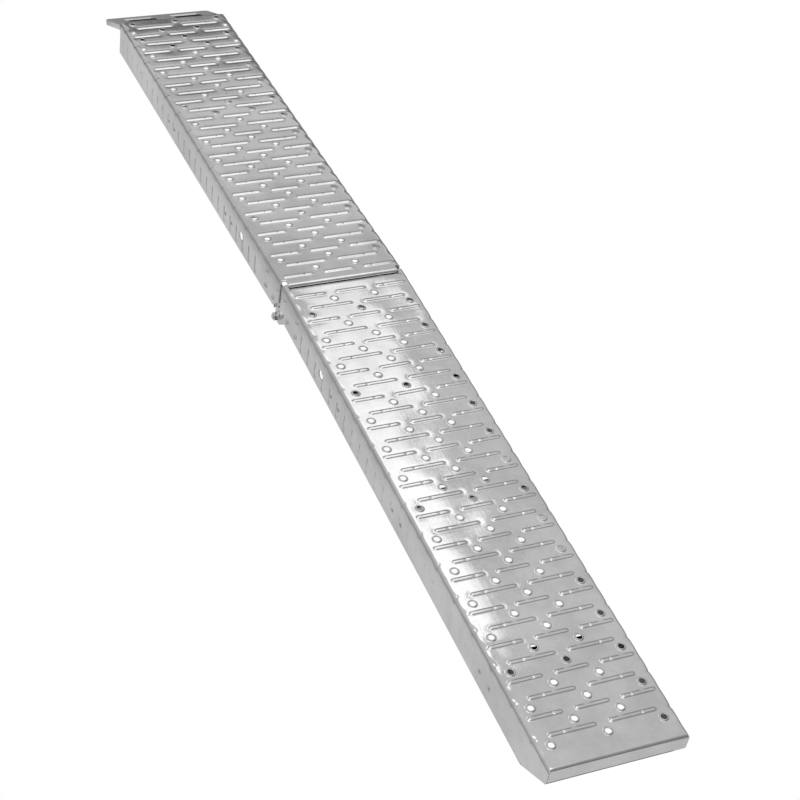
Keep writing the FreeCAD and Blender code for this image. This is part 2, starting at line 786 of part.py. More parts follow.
# Hexagons: how far they are turned, and the turned-off corners of the free face.
HEXAGON_TURN = 15
CROWN_SLOPE = 0.9
CROWN_RADIUS = 0.47


def rivet_solid(spot, inward, grip, shank, head, head_height, tail_height):
    """Domed rivet: its head bears at spot and its shank runs along inward."""
    ball = (head ** 2 + head_height ** 2) / (2 * head_height)
    profile = Part.Wire([
        Part.makeLine(Vector(0, 0, -head_height), Vector(0, 0, 0)),
        Part.makeLine(Vector(0, 0, 0), Vector(head, 0, 0)),
        Part.Arc(
            Vector(head, 0, 0),
            Vector(ball * math.sin(0.5 * math.asin(head / ball)), 0,
                   ball * (1 - math.cos(0.5 * math.asin(head / ball))) - head_height),
            Vector(0, 0, -head_height)).toShape(),
    ])
    dome = Part.Face(profile).revolve(Vector(0, 0, 0), Vector(0, 0, 1), 360)
    stem = Part.makeCylinder(shank, grip + tail_height, Vector(0, 0, 0))
    tail = Part.makeCone(shank * TAIL_FOOT, shank * TAIL_END, tail_height,
                         Vector(0, 0, grip))
    rivet = dome.fuse([stem, tail]).removeSplitter()
    rivet.Placement = Placement(spot, Rotation(Vector(0, 0, 1), inward))
    return rivet


def make_group(name, out, solids):
    """One node holding several identical separate solids."""
    feature = doc.addObject("Part::Feature", name)
    feature.Shape = Part.makeCompound(solids)
    return stand(feature, out, name)


def make_hinge_rivets(out, side, places):
    """Rivets through one flange and its hinge plate."""
    way = SIDES[side]
    solids = []
    for reach, depth in places:
        spot = Vector(way * size("deck_width") / 2, out * reach, height(depth))
        solids.append(rivet_solid(
            spot, Vector(-way, 0, 0), size("sheet") + size("plate"),
            size("hinge_rivet_radius"), size("rivet_head_radius"),
            size("rivet_head_height"), size("rivet_tail_height")))
    return make_group("%s_hinge_rivets_%s" % (half_name(out), side), out, solids)


def make_brace_rivets(out, braces, first_rib):
    """Low rivets that sit in the ribs and hold the brace tabs."""
    solids = []
    for way in SIDES.values():
        outer = size("deck_width") / 2 - size("rib_depth")
        for reach in brace_rivet_reaches(braces, first_rib):
            spot = Vector(way * outer, out * reach, height(size("brace_rivet_depth")))
            solids.append(rivet_solid(
                spot, Vector(-way, 0, 0), 2 * size("sheet") - size("rib_depth"),
                size("brace_rivet_radius"), size("brace_head_radius"),
                size("brace_head_height"), size("brace_tail_height")))
    return make_group("%s_brace_rivets" % half_name(out), out, solids)


def make_lip_rivets():
    """Four domed rivets that hold the lip plate under the upper deck."""
    solids = []
    for x, y in lip_rivet_places():
        solids.append(rivet_solid(
            Vector(x, y, height(0)), Vector(0, 0, -1),
            size("sheet") + size("lip_sheet"), size("hinge_rivet_radius"),
            size("rivet_head_radius"), size("rivet_head_height"),
            size("rivet_tail_height")))
    return make_group("lip_rivets", UPPER, solids)


def hexagon_prism(start, way, flats, length):
    """Hexagonal prism that begins at start and runs along X."""
    corner = flats / math.sqrt(3)
    points = [Vector(0, corner * math.cos(math.radians(60 * turn + HEXAGON_TURN)),
                     corner * math.sin(math.radians(60 * turn + HEXAGON_TURN)))
              for turn in range(7)]
    face = Part.Face(Part.makePolygon(points))
    return face.translated(start).extrude(Vector(way * length, 0, 0))


def dome_cut(start, way, length, flats):
    """Rounded corners of a hexagon, as turned on a lathe."""
    corner = flats / math.sqrt(3)
    cone = Part.makeCone(corner + length * CROWN_SLOPE, flats * CROWN_RADIUS, length,
                         Vector(0, 0, 0))
    cone.Placement = Placement(start, Rotation(Vector(0, 0, 1), Vector(way, 0, 0)))
    return cone


def make_pivot(side):
    """Hinge bolt with its washers and lock nut, on one side of the ramp."""
    way = SIDES[side]
    flats = size("nut_flats")
    washer = size("washer")
    ear_face = size("deck_width") / 2 - size("sheet")
    inner_face = ear_face - size("ear_offset") - size("plate") - size("axial_gap")
    nut_start = ear_face + washer
    bolt_end = nut_start + size("nut_height") + size("bolt_past_nut")
    head_start = inner_face - washer
    outward = Vector(way, 0, 0)
    pin = size("pin_radius")

    shank = Part.makeCylinder(pin, bolt_end - head_start,
                              Vector(way * head_start, 0, 0), outward)
    head = hexagon_prism(Vector(way * head_start, 0, 0), -way, flats,
                         size("head_height"))
    head = head.common(dome_cut(Vector(way * head_start, 0, 0), -way,
                                size("head_height"), flats))
    make_group("pivot_bolt_" + side, LOWER, [shank.fuse(head).removeSplitter()])

    nut = hexagon_prism(Vector(way * nut_start, 0, 0), way, flats, size("nut_height"))
    nut = nut.common(dome_cut(Vector(way * nut_start, 0, 0), way, size("nut_height"),
                              flats))
    bore = Part.makeCylinder(pin, 40, Vector(way * (nut_start - 5), 0, 0), outward)
    make_group("pivot_nut_" + side, LOWER, [nut.cut(bore)])

    for word, start in (("outer", ear_face), ("inner", head_start)):
        ring = Part.makeCylinder(size("washer_radius"), washer,
                                 Vector(way * start, 0, 0), outward)
        hole = Part.makeCylinder(pin, washer, Vector(way * start, 0, 0), outward)
        make_group("%s_washer_%s" % (word, side), LOWER, [ring.cut(hole)])


# ---------------------------------------------------------------- build
parts = []
set_stance()
make_lower_deck()
make_upper_deck()
make_lip()
make_lip_rivets()
for number, rib in enumerate(LOWER_BRACES, start=1):
    make_brace(LOWER, "lower_brace_%d" % number, rib, size("lower_first_rib"))
make_brace(UPPER, "upper_brace", UPPER_BRACE, size("upper_first_rib"))
make_brace(UPPER, "upper_tie", UPPER_TIE, size("upper_first_rib"), kind="tie")
make_strap()
make_brace_rivets(LOWER, LOWER_BRACES, size("lower_first_rib"))
make_brace_rivets(UPPER, (UPPER_TIE, UPPER_BRACE), size("upper_first_rib"))
for side in SIDES:
    make_hinge_plate(LOWER, side, LOWER_HINGE_RIVETS)
    make_hinge_plate(UPPER, side, UPPER_HINGE_RIVETS)
    make_hinge_rivets(LOWER, side, LOWER_HINGE_RIVETS)
    make_hinge_rivets(UPPER, side, UPPER_HINGE_RIVETS)
    make_pivot(side)
doc.recompute()

# Put the origin under the middle of the ramp, on the floor.
whole = Part.makeCompound([part.Shape for part in parts]).BoundBox
sheet.set(sheet.getCellFromAlias("pivot_y"), repr(-(whole.YMin + whole.YMax) / 2))
sheet.set(sheet.getCellFromAlias("pivot_z"), repr(-whole.ZMin))
doc.recompute()

for item in doc.Objects:
    if "Invalid" in item.State or "Error" in item.State:
        raise RuntimeError("%s failed: %s" % (item.Label, item.State))
for part in parts:
    if part.Shape.isNull() or not part.Shape.isValid():
        raise RuntimeError(part.Label + " has no valid shape")
    part.Shape.exportStep("parts/%s.step" % part.Label)
    box = part.Shape.BoundBox
    print("%-26s %d solid(s) volume %.0f" % (part.Label, len(part.Shape.Solids),
                                             part.Shape.Volume))
    print("      x %.1f..%.1f y %.1f..%.1f z %.1f..%.1f" % (
        box.XMin, box.XMax, box.YMin, box.YMax, box.ZMin, box.ZMax))
print("pivot_y %.4f pivot_z %.4f lower_tilt %.4f upper_tilt %.4f" % (
    size("pivot_y"), size("pivot_z"), size("lower_tilt"), size("upper_tilt")))
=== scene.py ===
"""Looks for the folding ramp: finely pressed deck sheets, zinc finishes and studio light.

The long pressed sheets are rebuilt here as dense meshes, from the same few sizes as
the CAD part.  Each sheet is laid out flat first, with u across it and q along it, and
then folded.  Lengths are millimetres until a mesh is made, and metres after that.
"""
import json
import math

import bpy
import numpy as np
from mathutils import Euler, Matrix, Vector


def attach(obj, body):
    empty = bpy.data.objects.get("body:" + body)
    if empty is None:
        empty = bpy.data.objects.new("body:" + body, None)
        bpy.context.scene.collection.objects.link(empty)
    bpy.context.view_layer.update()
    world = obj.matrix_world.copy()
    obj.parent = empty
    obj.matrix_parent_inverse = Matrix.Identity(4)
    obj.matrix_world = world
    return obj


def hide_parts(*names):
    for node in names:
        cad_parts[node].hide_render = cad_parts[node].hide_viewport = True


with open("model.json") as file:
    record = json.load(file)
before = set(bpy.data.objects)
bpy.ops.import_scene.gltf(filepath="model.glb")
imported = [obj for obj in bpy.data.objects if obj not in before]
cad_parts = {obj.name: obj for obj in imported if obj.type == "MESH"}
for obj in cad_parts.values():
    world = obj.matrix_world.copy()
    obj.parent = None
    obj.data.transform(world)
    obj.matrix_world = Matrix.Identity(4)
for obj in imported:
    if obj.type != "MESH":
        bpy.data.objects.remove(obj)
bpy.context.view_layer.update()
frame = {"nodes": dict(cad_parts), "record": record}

MM = 0.001
LOWER = -1
UPPER = 1

# ---------------------------------------------------------------- sizes of the sheet
HALF_WIDTH = 103.5
SHEET = 1.5
BEND = 5.0
FLANGE_DEPTH = 62.0
PIVOT_DEPTH = 66.5
ARCH = math.radians(4.36)
LOWER_STAND = 927.0
UPPER_STAND = 876.0
LOWER_TILT = ARCH * UPPER_STAND / (LOWER_STAND + UPPER_STAND)
TILT = {LOWER: LOWER_TILT, UPPER: LOWER_TILT - ARCH}

FLAT_HALF = HALF_WIDTH - BEND
FOLD = BEND * math.pi / 2
FLANGE_TOP = FLAT_HALF + FOLD
FLANGE_END = FLANGE_TOP + FLANGE_DEPTH - BEND

PITCH = 62.0
HOLE_COLUMNS_NEAR = (-34.2, 34.2)
HOLE_COLUMNS_FAR = (-83.2, 0.0, 83.2)
HOLE_RADIUS = 4.5
COLLAR_TOP = 5.4
COLLAR_FOOT = 7.0
RING_END = 7.8
WARP_END = 10.0
COLLAR_HEIGHT = 1.8
RIDGE_RADIUS = 3.6
RIDGE_HEIGHT = 1.4
SHORT_RIDGE = 51.8
SHORT_RIDGE_CENTRES = (-69.1, 0.0, 69.1)
LONG_RIDGE = 70.8
LONG_RIDGE_CENTRES = (-44.6, 44.6)
NICKS = (-58.6, 57.6)

RIB_COUNT = 25
RIB_MIDDLE = 40.0
RIB_SPINE = 10.5
RIB_DEPTH = 0.8
LOCK_REACH = 184.0
LOCK_DEPTH = 33.0
LOCK_RADIUS = 7.5
DIMPLE_REACH = 741.5
STRIP_HALF = 94.5
GUSSET_DEPTH = 1.0
SCALLOP_DEPTH = 0.22
NICK_DEPTH = 0.5
NICK_SPREAD = 0.6

# Each half: first tread row, repeats, first rib, reach of the fold that ends the
# deck at the hinge, reach where the flanges start, and where the sheet ends.
HALVES = {
    LOWER: {"name": "lower", "first_row": 36.6, "repeats": 15, "first_rib": 103.6,
            "fold_reach": 12.2, "flange_start": 4.2, "end": 988.0,
            "notch": (3.2, 54.0, 11.0)},
    UPPER: {"name": "upper", "first_row": 11.2, "repeats": 14, "first_rib": 109.2,
            "fold_reach": -13.2, "flange_start": 1.3, "end": 876.0,
            "notch": (0.3, 41.0, 27.0)},
}
END_WALL_DEPTH = 12.0
FOOT_WALL_DEPTH = 26.0
FOOT_WALL_HALF = 101.7
SEAM_END = 102.6


# ---------------------------------------------------------------- grid lines
def spaced_lines(wanted, low, high, widest, closest=0.45):
    """Sorted grid lines: the wanted ones that aren't too close, with wide gaps filled."""
    kept = []
    for value in sorted(v for v in set(wanted) if low <= v <= high):
        if not kept or value - kept[-1] >= closest:
            kept.append(value)
    lines = []
    for start, end in zip(kept, kept[1:]):
        steps = max(1, math.ceil((end - start) / widest))
        lines += [start + (end - start) * step / steps for step in range(steps)]
    return np.array(lines + kept[-1:])


def around(centre, offsets):
    """The centre with the same offsets on both sides of it."""
    return [centre] + [centre + way * offset for offset in offsets for way in (-1, 1)]


# Where grid lines run beside the middle of each hole, ridge, rib and lock hole, and how
# many steps a bend takes.
HOLE_OFFSETS = (HOLE_RADIUS / 2, HOLE_RADIUS, 5.0, 5.7, 6.4, COLLAR_FOOT, RING_END,
                WARP_END)
RIDGE_OFFSETS = (1.0, 1.7, 2.3, 2.9, 3.5, 4.1, 5.0)
RIDGE_END_OFFSETS = (-0.9, 0.0, 0.9, 1.8, 3.6)
NICK_OFFSETS = (0.7,)
RIB_OFFSETS = (8.0, 10.5, 13.0, 14.5, 16.0, 17.5)
LOCK_OFFSETS = (3.2, LOCK_RADIUS, 8.0)
DECK_LINES_END = 93.0
BEND_STEPS = 6
WIDEST_ACROSS = 3.0
WIDEST_ALONG = 2.6
SLIT = 1.0
END_SLIVER = 0.4
TOUCH = 0.01


def bend_lines():
    """Distances round a bend at which a grid line runs."""
    return [FOLD * step / BEND_STEPS for step in range(BEND_STEPS + 1)]


def across_lines():
    """Grid lines across the sheet, as distances u along its unrolled section."""
    lines = []
    for column in HOLE_COLUMNS_NEAR + HOLE_COLUMNS_FAR:
        lines += around(column, HOLE_OFFSETS)
    for centres, length in ((SHORT_RIDGE_CENTRES, SHORT_RIDGE),
                            (LONG_RIDGE_CENTRES, LONG_RIDGE)):
        for centre in centres:
            for way in (-1, 1):
                end = centre + way * length / 2
                lines += [end - way * inward for inward in RIDGE_END_OFFSETS]
    for nick in NICKS:
        lines += around(nick, NICK_OFFSETS)
    deck = [u for u in lines if abs(u) < DECK_LINES_END]
    deck += [way * u for way in (-1, 1) for u in (STRIP_HALF, STRIP_HALF + SLIT)]
    bend = [FLAT_HALF + distance for distance in bend_lines()]
    bend += [FOOT_WALL_HALF, SEAM_END]
    middle = FLANGE_TOP - BEND + RIB_MIDDLE
    flange = around(middle, RIB_OFFSETS)
    flange += around(FLANGE_TOP - BEND + LOCK_DEPTH, LOCK_OFFSETS)
    flange += [FLANGE_END - 1.0, FLANGE_END]
    side = bend + flange
    both = deck + side + [-u for u in side]
    return spaced_lines(both, -FLANGE_END, FLANGE_END, WIDEST_ACROSS)


def along_lines(out):
    """Grid lines along one half, as distances q along its unrolled length."""
    half = HALVES[out]
    start, end = fold_ends(out)
    lines = [start, half["flange_start"], end]
    fold = half["fold_reach"] + BEND
    lines += [fold - distance for distance in bend_lines()]
    if out == LOWER:
        lines += [wall_start() + distance for distance in bend_lines()]
        lines += [half["end"] - END_SLIVER]
    for repeat in range(half["repeats"]):
        row = half["first_row"] + repeat * PITCH
        for step in (0, 2):
            lines += around(row + step * PITCH / 4, RIDGE_OFFSETS)
        for step in (1, 3):
            lines += around(row + step * PITCH / 4, HOLE_OFFSETS)
    return spaced_lines(lines, start, end, WIDEST_ALONG)


def fold_ends(out):
    """First and last q of one half, with its folded strips laid flat."""
    half = HALVES[out]
    start = half["fold_reach"] + BEND - FOLD - (END_WALL_DEPTH - BEND)
    if out == UPPER:
        return start, half["end"]
    return start, wall_start() + FOLD + FOOT_WALL_DEPTH - BEND


def wall_start():
    """Reach at which the deck starts to roll down into the foot's front wall."""
    return HALVES[LOWER]["end"] - BEND


# ---------------------------------------------------------------- relief
def smooth(value, low, high):
    """0 below low, 1 above high, with soft ends."""
    t = np.clip((value - low) / (high - low), 0.0, 1.0)
    return t * t * (3.0 - 2.0 * t)


def tread_rows(out):
    """Every pressed row of one half: its reach, what it holds and where."""
    half = HALVES[out]
    for repeat in range(half["repeats"]):
        row = half["first_row"] + repeat * PITCH
        yield row, "ridge", SHORT_RIDGE_CENTRES, SHORT_RIDGE
        yield row + PITCH / 4, "hole", HOLE_COLUMNS_NEAR, 0.0
        yield row + PITCH / 2, "ridge", LONG_RIDGE_CENTRES, LONG_RIDGE
        yield row + 3 * PITCH / 4, "hole", HOLE_COLUMNS_FAR, 0.0


def round_the_holes(u, q, out):
    """Pull the square grid round each hole into rings; also say how far out each is."""
    nearest = np.full(u.shape, 99.0)    # far from any hole
    new_u, new_q = u.copy(), q.copy()
    for row, kind, columns, _ in tread_rows(out):
        if kind != "hole":
            continue
        near_row = np.abs(q[:, 0] - row) < WARP_END + TOUCH
        for column in columns:
            near = np.ix_(near_row, np.abs(u[0] - column) < WARP_END + TOUCH)
            du, dq = u[near] - column, q[near] - row
            square = np.maximum(np.abs(du), np.abs(dq))
            radius = np.maximum(np.hypot(du, dq), 1e-6)
            blend = np.clip((square - RING_END) / (WARP_END - RING_END), 0, 1)
            scale = (1 - blend) * square / radius + blend
            new_u[near] = column + du * scale
            new_q[near] = row + dq * scale
            nearest[near] = np.minimum(nearest[near], radius * scale)
    return new_u, new_q, nearest


def ridge_relief(u, q, out):
    """Flat-topped ridges with round ends, each with a small nick pressed across it."""
    relief = np.zeros(u.shape)
    pucker = np.zeros(u.shape)
    for row, kind, centres, length in tread_rows(out):
        if kind != "ridge":
            continue
        band = np.abs(q[:, 0] - row) < 12.0
        for centre in centres:
            spine = length / 2 - RIDGE_RADIUS
            past = np.maximum(np.abs(u[band] - centre) - spine, 0.0)
            away = np.hypot(past, q[band] - row)
            rise = RIDGE_HEIGHT * (1.0 - smooth(away, RIDGE_RADIUS - 2.3, RIDGE_RADIUS + 0.6))
            relief[band] = np.maximum(relief[band], rise)
            pucker[band] += np.exp(-((away - RIDGE_RADIUS) / 4.0) ** 2)
    nick = sum(np.exp(-((u - place) / NICK_SPREAD) ** 2) for place in NICKS)
    relief -= NICK_DEPTH * nick * (relief > 0.8 * RIDGE_HEIGHT)
    return relief - 0.10 * pucker


def collar_relief(nearest):
    """Raised rim round every hole, rolled in a little at its mouth."""
    rim = 1.0 - smooth(nearest, COLLAR_TOP, COLLAR_FOOT)
    mouth = 1.0 - smooth(nearest, HOLE_RADIUS - 0.2, COLLAR_TOP)
    return COLLAR_HEIGHT * rim - 0.5 * mouth


def flange_relief(u, q, out):
    """Upright ribs, the round dimple and the gussets pressed into the long bends."""
    half = HALVES[out]
    depth = np.abs(u) - FLANGE_TOP + BEND
    past = np.maximum(np.abs(depth - RIB_MIDDLE) - RIB_SPINE, 0.0)
    step = PITCH / 2
    number = np.clip(np.round((q - half["first_rib"]) / step), 0, RIB_COUNT - 1)
    away = np.hypot(q - half["first_rib"] - number * step, past)
    relief = -RIB_DEPTH * (1.0 - smooth(away, 4.4, 6.8))
    dimple = np.hypot(q - DIMPLE_REACH, depth - LOCK_DEPTH)
    relief = np.minimum(relief, -RIB_DEPTH * (1.0 - smooth(dimple, 3.5, 6.5)))
    long_row = half["first_row"] + PITCH / 2
    number = np.clip(np.round((q - long_row) / PITCH), 1, half["repeats"] - 1)
    across = np.maximum(1.0 - np.abs(np.abs(u) - FLAT_HALF - FOLD / 2) / 7.0, 0.0)
    along = np.maximum(1.0 - np.abs(q - long_row - number * PITCH) / 5.0, 0.0)
    scallop = SCALLOP_DEPTH * (1.0 + np.cos(2 * math.pi * (q - long_row) / step))
    edge = np.exp(-((np.abs(u) - FLAT_HALF - FOLD / 2) / 5.0) ** 2)
    return relief - GUSSET_DEPTH * across * along - scallop * edge


def sheet_waves(u, q, out):
    """Slow unevenness of the thin sheet, which bends what it mirrors."""
    inside = smooth(HALF_WIDTH - np.abs(u), 0.0, 25.0)
    waves = 0.09 * np.sin(q / 21.0 + 1.3 * np.sin(u / 31.0) + out)
    waves += 0.11 * np.sin(q / 47.0 - u / 38.0 + 2.1 * out)
    waves += 0.07 * np.sin(u / 13.0 + 0.8 * np.sin(q / 29.0))
    return waves * inside


# ---------------------------------------------------------------- folding the sheet
def fold_across(u):
    """Section of the trough: x, depth and the outward normal for each u."""
    turn = np.clip((np.abs(u) - FLAT_HALF) / BEND, 0.0, math.pi / 2)
    flat = np.minimum(np.abs(u), FLAT_HALF)
    x = np.sign(u) * (flat + BEND * np.sin(turn))
    depth = BEND * (1.0 - np.cos(turn)) + np.maximum(np.abs(u) - FLANGE_TOP, 0.0)
    return x, depth, np.sign(u) * np.sin(turn), np.cos(turn)


def roll_down(distance):
    """Run and drop of a strip that rolls over a bend and then hangs straight down."""
    turn = np.clip(distance / BEND, 0.0, math.pi / 2)
    run = BEND * np.sin(turn)
    drop = BEND * (1.0 - np.cos(turn)) + np.maximum(distance - FOLD, 0.0)
    return run, drop, turn


def trim_flanges(depth, q, out):
    """Shorten the flanges to their sloped corners by drawing their lines together."""
    half = HALVES[out]
    reach, top, length = half["notch"]
    limit = top + (q - reach) * (FLANGE_DEPTH + 1.0 - top) / length
    if out == LOWER:
        slope = (FLANGE_DEPTH - FOOT_WALL_DEPTH) / (half["end"] + 1.0 - LOWER_STAND)
        limit = np.minimum(limit, FLANGE_DEPTH - (q - LOWER_STAND) * slope)
    limit = np.minimum(limit, FLANGE_DEPTH)
    share = (limit - BEND) / (FLANGE_DEPTH - BEND)
    return np.where(depth > BEND, BEND + (depth - BEND) * share, depth)


def fold_sheet(u, q, relief, out):
    """Points of one half in its own frame, folded across and at its ends."""
    half = HALVES[out]
    x, depth, nx, nz = fold_across(u)
    depth = trim_flanges(depth, q, out)
    run, drop, _ = roll_down(half["fold_reach"] + BEND - q)
    on_deck = np.abs(u) <= STRIP_HALF + TOUCH
    rolled = on_deck & (q < half["fold_reach"] + BEND)
    reach = np.where(rolled, half["fold_reach"] + BEND - run, q)
    depth = np.where(rolled, drop, depth)
    if out == LOWER:
        run, drop, turn = roll_down(q - wall_start())
        rolled = (np.abs(u) <= FOOT_WALL_HALF + TOUCH) & (q > wall_start())
        flat = turn / (math.pi / 2)
        reach = np.where(rolled, wall_start() + run, reach)
        x = np.where(rolled, x + (u - x) * flat, x)
        depth = np.where(rolled, depth * (1.0 - flat) + drop, depth)
    x = x + nx * relief
    z = PIVOT_DEPTH - depth + nz * relief
    return np.stack((x, out * reach, z), axis=-1)


def missing_cells(u, q, nearest, out):
    """True for each grid cell that is open: holes, notches, seams and the lock hole."""
    half = HALVES[out]
    mid_u = (u[:-1, :-1] + u[1:, 1:]) / 2
    mid_q = (q[:-1, :-1] + q[1:, 1:]) / 2
    outside = np.maximum(np.maximum(nearest[:-1, :-1], nearest[1:, 1:]),
                         np.maximum(nearest[:-1, 1:], nearest[1:, :-1]))
    gone = outside < HOLE_RADIUS + TOUCH
    beside = np.abs(mid_u) > STRIP_HALF
    gone |= beside & (mid_q < half["flange_start"])
    if out == LOWER:
        slit = beside & (np.abs(mid_u) < STRIP_HALF + SLIT)
        gone |= slit & (mid_q < half["fold_reach"] + BEND)
        seam = np.abs(mid_u) > FOOT_WALL_HALF
        gone |= seam & (np.abs(mid_u) < SEAM_END) & (mid_q > wall_start())
        gone |= seam & (mid_q > half["end"] - END_SLIVER)
    depth = np.abs(mid_u) - FLANGE_TOP + BEND
    gone |= np.hypot(mid_q - LOCK_REACH, depth - LOCK_DEPTH) < LOCK_RADIUS
    return gone


def snap_lock_hole(u, q):
    """Move the grid points nearest the lock hole's edge onto its circle."""
    middle = FLANGE_TOP - BEND + LOCK_DEPTH
    du, dq = np.abs(u) - middle, q - LOCK_REACH
    radius = np.maximum(np.hypot(du, dq), 1e-6)
    near = np.abs(radius - LOCK_RADIUS) < 1.3
    scale = np.where(near, LOCK_RADIUS / radius, 1.0)
    return np.sign(u) * (middle + du * scale), LOCK_REACH + dq * scale


PIVOT = Vector(frame["record"]["behaviour"]["joints"][0]["pos_m"])


def to_row_frame(points, out):
    """Metres in the row frame from millimetres in one half's own frame."""
    turn = np.array(Matrix.Rotation(TILT[out], 3, "X"))
    return points @ turn.T * MM + np.array(PIVOT)


def pressed_relief(u, q, nearest, out):
    """Height of the pressed pattern over the plain sheet, calm next to the bends."""
    half = HALVES[out]
    relief = np.maximum(ridge_relief(u, q, out), -0.25) + collar_relief(nearest)
    relief = np.where(np.abs(u) > FLAT_HALF - 1.0, 0.0, relief)
    calm = smooth(q, half["fold_reach"] + BEND, half["first_row"] - 5.0)
    if out == LOWER:
        calm *= smooth(half["end"] - q, BEND, BEND + 20.0)
    return relief + (sheet_waves(u, q, out) * calm + flange_relief(u, q, out))


def make_sheet(out):
    """One pressed half as a single dense sheet with real thickness."""
    name = HALVES[out]["name"]
    flat_u, flat_q = np.meshgrid(across_lines(), along_lines(out))
    u, q, nearest = round_the_holes(flat_u, flat_q, out)
    gone = missing_cells(flat_u, flat_q, nearest, out)
    u, q = snap_lock_hole(u, q)
    points = to_row_frame(fold_sheet(u, q, pressed_relief(u, q, nearest, out), out), out)

    rows, columns = u.shape
    corner = np.arange(rows * columns).reshape(rows, columns)
    quads = np.stack((corner[:-1, :-1], corner[:-1, 1:], corner[1:, 1:],
                      corner[1:, :-1]), axis=-1)[~gone]
    if out == LOWER:
        quads = quads[:, ::-1]
    used = np.unique(quads)
    order = np.zeros(rows * columns, dtype=int)
    order[used] = np.arange(len(used))
    mesh = bpy.data.meshes.new(name + "_sheet")
    mesh.from_pydata(points.reshape(-1, 3)[used].tolist(), [], order[quads].tolist())
    mesh.polygons.foreach_set("use_smooth", [True] * len(mesh.polygons))
    mesh.update()
    sheet = bpy.data.objects.new(name + "_sheet", mesh)
    bpy.context.scene.collection.objects.link(sheet)
    skin = sheet.modifiers.new("thickness", "SOLIDIFY")
    skin.thickness = SHEET * MM
    skin.offset = -1.0
    skin.use_even_offset = False
    return sheet


# ---------------------------------------------------------------- materials
class Nodes:
    """Short hand for adding and joining shader nodes."""

    def __init__(self, tree):
        self.tree = tree
        tree.nodes.clear()

    def add(self, kind, inputs=None, **settings):
        node = self.tree.nodes.new(kind)
        for key, value in settings.items():
            setattr(node, key, value)
        for key, value in (inputs or {}).items():
            if isinstance(value, bpy.types.NodeSocket):
                self.tree.links.new(value, node.inputs[key])
            else:
                node.inputs[key].default_value = value
        return node

    def math(self, operation, first, second=0.0, third=0.0):
        inputs = {0: first, 1: second, 2: third}
        return self.add("ShaderNodeMath", inputs, operation=operation).outputs[0]

    def spread(self, value, low, high, to_low=0.0, to_high=1.0):
        inputs = {"Value": value, "From Min": low, "From Max": high,
                  "To Min": to_low, "To Max": to_high}
        node = self.add("ShaderNodeMapRange", inputs, interpolation_type="SMOOTHSTEP")
        return node.outputs["Result"]

    def noise(self, place, scale, detail=3.0, roughness=0.5, stretch=(1, 1, 1)):
        moved = self.add("ShaderNodeMapping", {"Vector": place, "Scale": stretch})
        inputs = {"Vector": moved.outputs[0], "Scale": scale, "Detail": detail,
                  "Roughness": roughness}
        return self.add("ShaderNodeTexNoise", inputs).outputs[0]

    def blend(self, amount, first, second):
        node = self.add("ShaderNodeMix", data_type="RGBA")
        for index, value in ((0, amount), (6, first), (7, second)):
            if isinstance(value, bpy.types.NodeSocket):
                self.tree.links.new(value, node.inputs[index])
            else:
                node.inputs[index].default_value = value
        return node.outputs[2]


def grey(level, warmth=0.0):
    """Nearly neutral colour; positive warmth leans to yellow."""
    return (level * (1 + warmth), level, level * (1 - warmth), 1.0)


